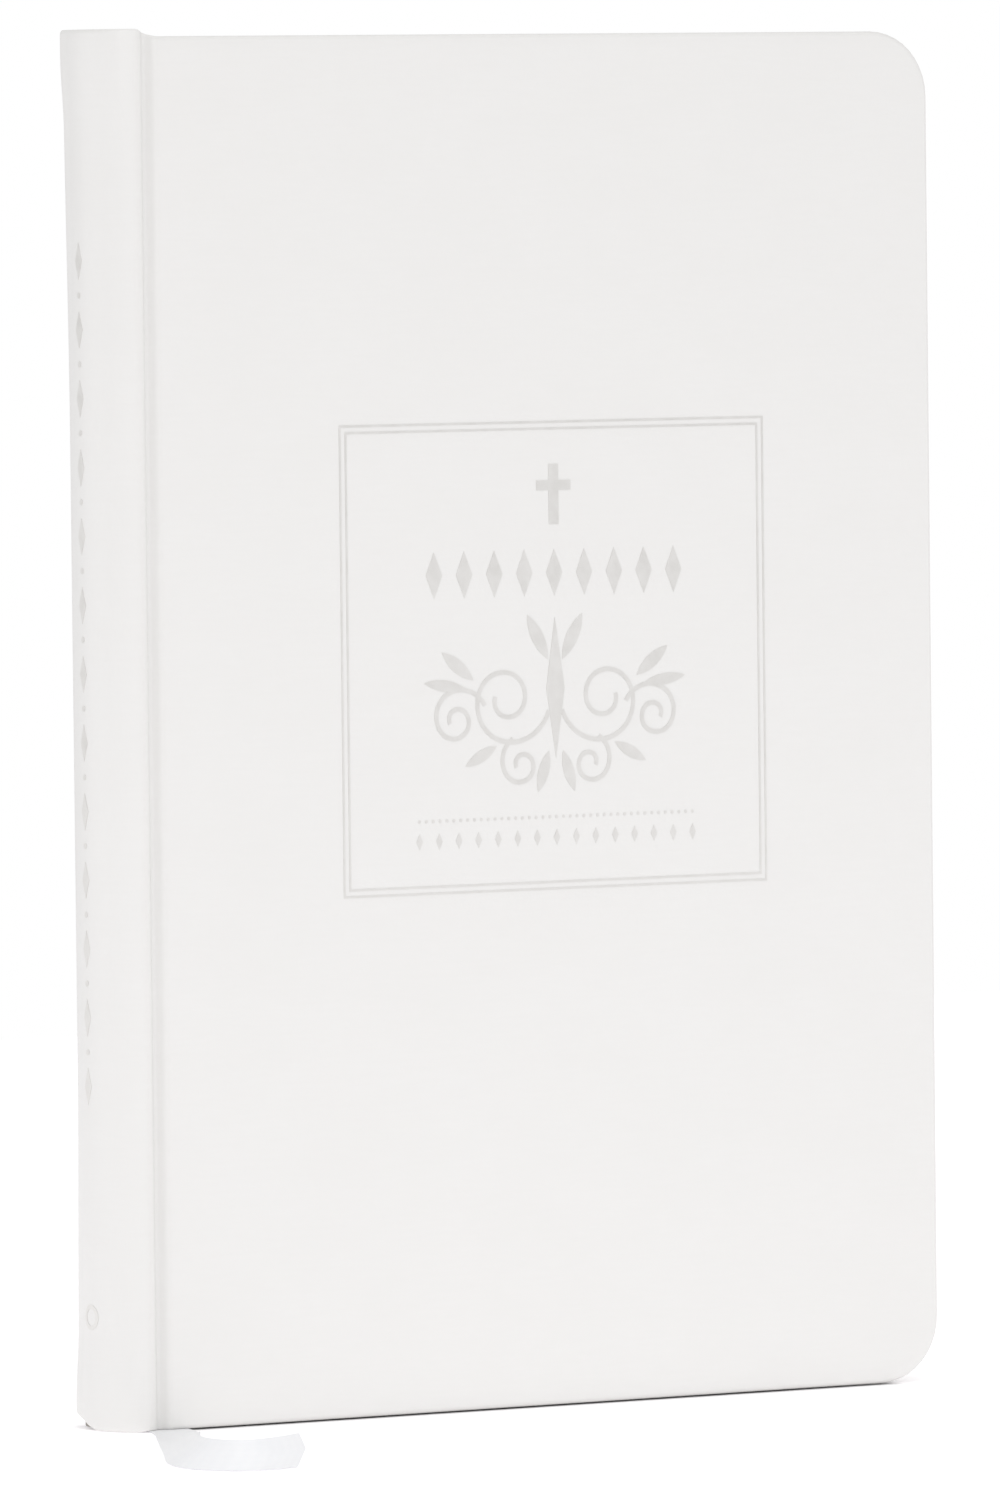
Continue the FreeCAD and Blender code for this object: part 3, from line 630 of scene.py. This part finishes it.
# ---- Leaves ---------------------------------------------------------------------------------
SIGNATURES = 11
MIDDLE_SIGNATURE = 6         # it stays on the spine
SHEETS = 4                   # folded sheets in a signature, two leaves each
SIGNATURE = 0.82
LEAF_FILL = 0.88             # share of its room that a leaf's paper takes
FOLD_NOSE = 0.2
FOLD_TAPER = 1.8             # the leaves close up over this length towards the fold
LEAF_COLUMNS = (0.9, FOLD_TAPER, 3.2, 5, 7, 9, 11.5, 14, 16.5, 19, 22, 26, 34, 50, 75)
NOSE_STEPS = 6
SIGNATURE_APART = 400        # how far apart the leaves lie in their texture
SHEET_APART = 40
TRIM_SPREAD = 0.05           # unevenness of the trimmed edges


def make_signature(number, rng):
    """Nested folded sheets, each one closed band of paper."""
    name = "signature_%02d" % number
    low, high = (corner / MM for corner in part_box(name))
    fold = low.x + FOLD_NOSE
    middle = (low.y + high.y) / 2
    noses = np.radians(np.linspace(90, -90, NOSE_STEPS + 1))
    points, uv, faces, sharp = [], [], [], []
    for sheet in range(SHEETS):
        room = SIGNATURE / 2 / SHEETS
        offset = room * (sheet + 0.5)
        trims = high.x - TRIM_SPREAD * rng.random(2)
        shift = TRIM_SPREAD * (rng.random(2) - 0.5)
        bands = []
        for radius in (offset + room * LEAF_FILL / 2, offset - room * LEAF_FILL / 2):
            distance = np.concatenate([LEAF_COLUMNS, [0]])
            squeeze = 0.5 + 0.5 * np.clip(distance / FOLD_TAPER, 0, 1)
            first = [(trims[0], middle + radius)]
            columns = list(zip(distance[:-1], squeeze[:-1]))
            first += [(fold + d, middle + radius * q) for d, q in columns[::-1]]
            nose = [(fold - radius / 2 * math.cos(a), middle + radius / 2 * math.sin(a))
                    for a in noses]
            last = [(fold + d, middle - radius * q) for d, q in columns]
            last += [(trims[1], middle - radius)]
            bands.append(np.array(first + nose + last))
        runs = np.concatenate([[0], np.cumsum(np.linalg.norm(np.diff(bands[0], axis=0), axis=1))])
        rows = []
        for band, level, lift in ((0, low.z, 0), (0, high.z, 1), (1, high.z, 1), (1, low.z, 0)):
            start = len(points)
            z = level + shift[lift] * (1 if lift == 0 else -1)
            points += [(x, y, z) for x, y in bands[band]]
            uv += [(run, z + SIGNATURE_APART * number + SHEET_APART * sheet) for run in runs]
            rows.append(list(range(start, len(points))))
        for one, two in zip(rows, rows[1:] + rows[:1]):
            faces += strip_faces(one, two)
        faces.append(tuple(row[0] for row in rows[::-1]))
        faces.append(tuple(row[-1] for row in rows))
    piece = new_piece(name + "_leaves", points, faces, uv)
    face_outwards(piece)
    sharpen(piece, 50)
    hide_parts(name)
    if number == MIDDLE_SIGNATURE:
        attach(piece, ROOT)
    else:
        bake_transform(piece)
    return piece


unevenness = np.random.default_rng(11)
signatures = [make_signature(number, unevenness) for number in range(1, SIGNATURES + 1)]

# ---- Headbands ------------------------------------------------------------------------------
BLOCK_HALF = 4.84
BLOCK_SAGITTA = 0.6
FOLD_OFFSET = 2.8
BLOCK_RADIUS = (BLOCK_HALF ** 2 + BLOCK_SAGITTA ** 2) / (2 * BLOCK_SAGITTA)
BLOCK_CENTRE_X = SPINE_X + FOLD_OFFSET + BLOCK_RADIUS
BEAD_RADIUS = 0.56
BEAD_TURNS = 30              # turns of thread wound over the core
BEAD_STEPS = 8               # steps along each turn
BEAD_SIDES = 16
BEAD_RISE = 0.62             # middle of the bead above the edge of the block
THREAD_PROUD = 0.05
BAND_TONGUE = 8.0
BAND_THICKNESS = 0.22
BAND_GAP = 0.03              # between the block and the tongue
BAND_COLUMNS = 25


def make_headband(name, edge, direction):
    """Bead of thread wound over a core, with a cloth tongue down the spine."""
    half_turn = math.asin((BLOCK_HALF - FOLD_NOSE) / (BLOCK_RADIUS - FOLD_NOSE))
    bead_z = edge + direction * BEAD_RISE
    turns = np.linspace(-half_turn, half_turn, BEAD_TURNS * BEAD_STEPS + 1)
    round_bead = np.linspace(0, 2 * math.pi, BEAD_SIDES + 1)[:-1]
    points, uv, faces, rings = [], [], [], []
    for number, turn in enumerate(turns):
        ring = []
        for angle in round_bead:
            winding = abs(math.sin(math.pi * number / BEAD_STEPS + angle / 2))
            radius = BEAD_RADIUS - THREAD_PROUD + THREAD_PROUD * 2 * winding
            reach = BLOCK_RADIUS - FOLD_NOSE + radius * math.cos(angle)
            ring.append(len(points))
            points.append((BLOCK_CENTRE_X - reach * math.cos(turn), -reach * math.sin(turn),
                           bead_z + radius * math.sin(angle)))
            uv.append((turn * BLOCK_RADIUS, angle))
        rings.append(ring + ring[:1])
    for first, second in zip(rings, rings[1:]):
        faces += strip_faces(first, second)
    faces += [tuple(rings[0][:-1]), tuple(rings[-1][:-1])]
    tongue = []
    tongue_end = edge - direction * BAND_TONGUE
    near, far = BAND_GAP, BAND_GAP + BAND_THICKNESS
    for turn in np.linspace(-half_turn, half_turn, BAND_COLUMNS):
        column = []
        for reach, z in ((near, bead_z), (far, bead_z), (far, tongue_end), (near, tongue_end)):
            column.append(len(points))
            points.append((BLOCK_CENTRE_X - (BLOCK_RADIUS + reach) * math.cos(turn),
                           -(BLOCK_RADIUS + reach) * math.sin(turn), z))
            uv.append((turn * BLOCK_RADIUS, z - edge + 20))
        tongue.append(column + column[:1])
    for first, second in zip(tongue, tongue[1:]):
        faces += strip_faces(first, second)
    faces += [tuple(tongue[0][:-1]), tuple(tongue[-1][:-1])]
    piece = new_piece(name + "_woven", points, faces, uv)
    face_outwards(piece)
    sharpen(piece, 60)
    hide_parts(name)
    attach(piece, ROOT)
    return piece


headbands = [make_headband("headband", BLOCK_HEAD, 1), make_headband("tailband", BLOCK_TAIL, -1)]

# ---- Materials ------------------------------------------------------------------------------
WAVES_PER_UNIT = 20          # a wave texture of scale 1 has about this many stripes in a unit
YELLOWING = 2.8              # a warm grey loses this many times more blue than green


class Shader:
    """A Principled material and the nodes that feed it."""

    def __init__(self, name, **sockets):
        self.material = bpy.data.materials.new(name)
        self.material.use_nodes = True
        self.tree = self.material.node_tree
        self.principled = self.tree.nodes["Principled BSDF"]
        for socket, value in sockets.items():
            self.principled.inputs[socket.replace("_", " ")].default_value = value

    def node(self, kind, links=(), **values):
        made = self.tree.nodes.new("ShaderNode" + kind)
        for key, value in values.items():
            if key in made.bl_rna.properties:
                setattr(made, key, value)
            else:
                made.inputs[key.replace("_", " ")].default_value = value
        for target, source in dict(links).items():
            self.tree.links.new(source, made.inputs[target])
        return made

    def flat(self, stretch=(1, 1, 1)):
        """Coordinates on the unrolled sheet, in metres."""
        place = self.node("UVMap", uv_map="Flat")
        made = self.node("Mapping", {"Vector": place.outputs["UV"]}, Scale=stretch)
        return made.outputs["Vector"]

    def placed(self, stretch=(1, 1, 1)):
        """Coordinates of a CAD piece in its own frame, in metres."""
        place = self.node("TexCoord")
        made = self.node("Mapping", {"Vector": place.outputs["Object"]}, Scale=stretch)
        return made.outputs["Vector"]

    def noise(self, vector, size, detail=3.0, rough=0.55):
        """Noise whose features are about size millimetres."""
        values = {"Scale": 1 / (size * MM), "Detail": detail, "Roughness": rough}
        made = self.node("TexNoise", {"Vector": vector}, **values)
        return made.outputs["Fac"]

    def waves(self, vector, size, direction, **values):
        """Stripes size millimetres apart."""
        values.update(Scale=1 / (size * MM) / WAVES_PER_UNIT, bands_direction=direction)
        made = self.node("TexWave", {"Vector": vector}, **values)
        return made.outputs["Fac"]

    def spread(self, value, low, high, start=0.3, stop=0.7):
        """Maps a texture's range to low..high."""
        ends = {"From_Min": start, "From_Max": stop, "To_Min": low, "To_Max": high}
        return self.node("MapRange", {"Value": value}, **ends).outputs["Result"]

    def mix(self, factor, first, second):
        made = self.node("Mix", data_type="RGBA")
        for socket, value in ((0, factor), (6, first), (7, second)):
            if isinstance(value, (tuple, float)):
                made.inputs[socket].default_value = value
            else:
                self.tree.links.new(value, made.inputs[socket])
        return made.outputs[2]

    def sum(self, first, second, operation="ADD"):
        made = self.node("Math", {0: first}, operation=operation)
        if isinstance(second, float):
            made.inputs[1].default_value = second
        else:
            self.tree.links.new(second, made.inputs[1])
        return made.outputs[0]

    def color(self, source):
        self.tree.links.new(source, self.principled.inputs["Base Color"])

    def roughness(self, source):
        self.tree.links.new(source, self.principled.inputs["Roughness"])

    def bump(self, height, depth, strength=1.0):
        """Relief of the given depth in millimetres."""
        made = self.node("Bump", {"Height": height}, Distance=depth * MM, Strength=strength)
        self.tree.links.new(made.outputs["Normal"], self.principled.inputs["Normal"])


def grey(value, warm=0.0):
    return (value, value * (1 - warm), value * (1 - YELLOWING * warm), 1)


def covering_material():
    """White coated cover paper: fine fibres, soft mottling and slightly rubbed edges."""
    look = Shader("coated_covering", Coat_Weight=0.22, Coat_Roughness=0.20, Specular_IOR_Level=0.5)
    fibres = look.noise(look.flat((0.10, 1, 1)), 0.5, 4.0, 0.6)
    cells = {"Scale": 1 / (0.42 * MM), "feature": "SMOOTH_F1", "Smoothness": 0.6}
    grain = look.node("TexVoronoi", {"Vector": look.flat()}, **cells).outputs["Distance"]
    patches = look.noise(look.flat((0.6, 1, 1)), 9.0, 4.0, 0.6)
    patched = look.spread(patches, 0.0, 1.0, 0.35, 0.65)
    base = look.mix(patched, grey(0.828, 0.009), grey(0.836, 0.008))
    streaked = look.mix(look.spread(fibres, 0.0, 0.45), base, grey(0.817, 0.010))
    rub = look.node("Attribute", attribute_name="wear").outputs["Fac"]
    uneven = look.spread(look.noise(look.flat(), 1.1, 5.0, 0.7), 0.15, 0.75)
    scuffs = look.sum(rub, uneven, "MULTIPLY")
    look.color(look.mix(scuffs, streaked, grey(0.74, 0.02)))
    gloss = look.spread(look.noise(look.flat(), 2.2, 5.0, 0.65), 0.30, 0.40)
    look.roughness(look.sum(gloss, look.sum(scuffs, 0.25, "MULTIPLY")))
    relief = look.sum(look.sum(fibres, 0.6, "MULTIPLY"), look.sum(grain, 0.5, "MULTIPLY"))
    look.bump(relief, 0.022, 0.5)
    return look.material


def paper_material(name, value, warm, speck):
    """Uncoated paper with a cloudy formation and short fibres."""
    look = Shader(name, Specular_IOR_Level=0.25)
    clouds = look.noise(look.flat(), 2.8, 5.0, 0.6)
    fibres = look.noise(look.flat((0.35, 1, 1)), 0.35, 3.0, 0.6)
    darker = grey(value * 0.965, warm * 1.4)
    base = look.mix(look.spread(clouds, 0.0, 1.0), grey(value, warm), darker)
    look.color(look.mix(look.spread(fibres, 0.0, speck), base, grey(value * 0.86, warm * 2)))
    look.roughness(look.spread(clouds, 0.72, 0.86))
    look.bump(look.sum(clouds, look.sum(fibres, 0.5, "MULTIPLY")), 0.015, 0.4)
    return look.material


def foil_material():
    """Pale matt silver foil with pin-sized bare specks and an uneven stamp."""
    look = Shader("stamped_foil", Metallic=0.85, Specular_IOR_Level=0.5)
    cloud = look.noise(look.placed(), 1.6, 5.0, 0.65)
    specks = look.noise(look.placed(), 0.16, 2.0, 0.5)
    base = look.mix(look.spread(cloud, 0.0, 1.0), grey(0.775, 0.016), grey(0.810, 0.012))
    look.color(look.mix(look.spread(specks, 0.0, 0.7, 0.62, 0.72), base, grey(0.84, 0.01)))
    look.roughness(look.spread(cloud, 0.34, 0.52))
    look.bump(look.sum(cloud, specks), 0.012, 0.3)
    return look.material


def satin_material(name, vector_of, crosswise, lengthwise):
    """Woven satin: fine ribs across the ribbon over long floating threads."""
    look = Shader(name, Sheen_Weight=0.12, Sheen_Roughness=0.4, Specular_IOR_Level=0.42)
    vector = vector_of(look)
    ribs = look.waves(vector, 0.24, crosswise, Distortion=0.6, Detail=1.0)
    floats = look.waves(vector, 0.16, lengthwise, Distortion=0.4)
    cloud = look.noise(vector, 4.0, 3.0)
    base = look.mix(look.spread(cloud, 0.0, 1.0), (0.92, 0.925, 0.945, 1), (0.94, 0.945, 0.96, 1))
    look.color(look.mix(look.sum(ribs, 0.15, "MULTIPLY"), base, (0.87, 0.88, 0.91, 1)))
    look.roughness(look.spread(floats, 0.30, 0.42, 0.0, 1.0))
    look.bump(look.sum(look.sum(ribs, 0.7, "MULTIPLY"), floats), 0.02, 0.6)
    return look.material


def board_material():
    """Grey board: recycled fibres and dark specks."""
    look = Shader("grey_board", Specular_IOR_Level=0.2)
    fibres = look.noise(look.placed((1, 1, 0.4)), 0.5, 5.0, 0.7)
    specks = look.noise(look.placed(), 0.9, 2.0)
    base = look.mix(look.spread(fibres, 0.0, 1.0), (0.33, 0.31, 0.28, 1), (0.42, 0.40, 0.37, 1))
    look.color(look.mix(look.spread(specks, 0.0, 0.6, 0.62, 0.70), base, (0.16, 0.15, 0.14, 1)))
    look.roughness(look.spread(fibres, 0.85, 0.95))
    look.bump(fibres, 0.05, 0.6)
    return look.material


def mull_material():
    """Open plain weave, seen as threads with darker gaps between them."""
    look = Shader("mull_weave", Specular_IOR_Level=0.2)
    warp = look.waves(look.placed(), 0.7, "Z", Distortion=0.5, Detail=2.0)
    weft = look.waves(look.placed(), 0.7, "DIAGONAL", Distortion=0.5, Detail=2.0)
    weave = look.sum(warp, weft, "MAXIMUM")
    look.color(look.mix(weave, (0.42, 0.38, 0.30, 1), (0.76, 0.73, 0.66, 1)))
    look.roughness(look.spread(weave, 0.95, 0.80, 0.0, 1.0))
    look.bump(weave, 0.12, 0.8)
    return look.material


def lining_material():
    """Brown kraft paper glued over the cloth."""
    look = Shader("kraft_lining", Specular_IOR_Level=0.2)
    fibres = look.noise(look.placed((1, 1, 0.2)), 0.4, 5.0, 0.65)
    shade = look.spread(fibres, 0.0, 1.0)
    look.color(look.mix(shade, (0.50, 0.41, 0.30, 1), (0.60, 0.51, 0.39, 1)))
    look.roughness(look.spread(fibres, 0.75, 0.9))
    look.bump(fibres, 0.03, 0.5)
    return look.material


def thread_material(name, vector_of, tone):
    """Twisted thread."""
    look = Shader(name, Sheen_Weight=0.2, Sheen_Roughness=0.5, Specular_IOR_Level=0.3)
    vector = vector_of(look)
    twist = look.waves(vector, 0.30, "DIAGONAL", Distortion=0.8, Detail=2.0)
    look.color(look.mix(twist, tuple(c * 0.86 for c in tone[:3]) + (1,), tone))
    look.roughness(look.spread(twist, 0.75, 0.55, 0.0, 1.0))
    look.bump(twist, 0.03, 0.7)
    return look.material


def paint_everything():
    covering = covering_material()
    endpaper = paper_material("endpaper_stock", 0.80, 0.012, 0.25)
    pages = paper_material("page_stock", 0.78, 0.022, 0.35)
    foil = foil_material()
    for piece in (front_skin, back_skin):
        paint(piece, covering)
    for piece in endpapers + flyleaves:
        paint(piece, endpaper)
    for piece in signatures:
        paint(piece, pages)
    winding = thread_material("headband_thread", lambda look: look.flat(), (0.80, 0.80, 0.79, 1))
    for piece in headbands:
        paint(piece, winding)
    paint(ribbon_tail, satin_material("ribbon_satin", lambda look: look.flat(), "X", "Y"))
    marker_satin = satin_material("marker_satin", lambda look: look.placed(), "Z", "X")
    paint(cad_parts["ribbon_marker"], marker_satin)
    sewing = thread_material("sewing_thread", lambda look: look.placed(), (0.72, 0.70, 0.64, 1))
    looks = {
        "foil_": foil,
        "front_board": board_material(),
        "front_mull_wing": mull_material(),
        "spine_lining": lining_material(),
        "sewing_thread": sewing,
    }
    looks["back_board"] = looks["spine_card"] = looks["front_board"]
    looks["back_mull_wing"] = looks["spine_mull"] = looks["front_mull_wing"]
    for name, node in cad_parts.items():
        for start, material in looks.items():
            if name.startswith(start):
                paint(node, material)


paint_everything()


# ---- Floor and light ------------------------------------------------------------------------
LIGHTS = (                   # name, direction from the book, distance, size and power
    ("softbox_left", (-0.62, -0.88, 0.42), 1.6, 1.1, 1.6),
    ("softbox_front", (-0.10, -1.00, 0.55), 1.9, 1.4, 3.7),
    ("softbox_top", (0.10, -0.10, 1.00), 1.5, 1.2, 3.5),
    ("fill_back", (-0.95, 0.45, 0.25), 1.6, 1.1, 1.5),
)
LIGHT_AIM = (0, 0, 80)       # in millimetres
AMBIENT = 0.72               # light of the white surroundings on the book
BACKDROP = 1.0               # and as the camera sees them
TABLE_REACH = 0.65           # the lit table ends here, and the white surroundings go on
TABLE_GLOW = 0.36            # the table glows this much, a painted light that keeps it pure white round the book
PAINTED_SHADOW_HALF = (0.0510, 0.0066)   # half size of the patch under the book where the glow is left off: a painted contact shadow
PAINTED_SHADOW_FADE = 0.0025


def make_world():
    world = bpy.data.worlds.new("studio")
    bpy.context.scene.world = world
    world.use_nodes = True
    tree = world.node_tree
    background = tree.nodes["Background"]
    background.inputs["Color"].default_value = (1, 1, 1, 1)
    path = tree.nodes.new("ShaderNodeLightPath")
    strength = tree.nodes.new("ShaderNodeMapRange")
    strength.inputs["To Min"].default_value = AMBIENT
    strength.inputs["To Max"].default_value = BACKDROP
    tree.links.new(path.outputs["Is Camera Ray"], strength.inputs["Value"])
    tree.links.new(strength.outputs["Result"], background.inputs["Strength"])


def make_floor():
    reach = TABLE_REACH
    mesh = bpy.data.meshes.new("floor")
    corners = [(-reach, -reach, 0), (reach, -reach, 0), (reach, reach, 0), (-reach, reach, 0)]
    mesh.from_pydata(corners, [], [(0, 1, 2, 3)])
    floor = bpy.data.objects.new("floor", mesh)
    bpy.context.scene.collection.objects.link(floor)
    # The table glows faintly pink: a painted light.
    look = Shader("studio_floor", Specular_IOR_Level=0.0, Emission_Color=(1, 0.965, 1.0, 1))
    cloud = look.noise(look.placed(), 60.0, 3.0)
    look.color(look.mix(look.spread(cloud, 0.0, 1.0), grey(0.86), grey(0.90)))
    look.roughness(look.spread(cloud, 0.85, 0.95))
    # The glow fades out over a patch under the book: a painted contact shadow.
    place = look.node("SeparateXYZ", {0: look.placed()})
    squares = []
    for axis, half in enumerate(PAINTED_SHADOW_HALF):
        outside = look.sum(look.sum(place.outputs[axis], 0.0, "ABSOLUTE"), half, "SUBTRACT")
        squares.append(look.sum(look.sum(outside, 0.0, "MAXIMUM"), 2.0, "POWER"))
    distance = look.sum(look.sum(*squares), 0.5, "POWER")
    glow_with_painted_shadow = look.spread(distance, 0.0, TABLE_GLOW, 0.0, PAINTED_SHADOW_FADE)
    look.tree.links.new(glow_with_painted_shadow, look.principled.inputs["Emission Strength"])
    paint(floor, look.material)


def make_lights():
    aim = Vector(LIGHT_AIM) * MM
    for name, direction, distance, size, power in LIGHTS:
        light = bpy.data.lights.new(name, "AREA")
        light.size = size
        light.energy = power
        lamp = bpy.data.objects.new(name, light)
        towards = Vector(direction).normalized()
        lamp.location = aim + towards * distance
        lamp.rotation_euler = towards.to_track_quat("Z", "Y").to_euler()
        bpy.context.scene.collection.objects.link(lamp)


make_world()
make_floor()
make_lights()
bpy.context.scene.view_settings.view_transform = "Standard"
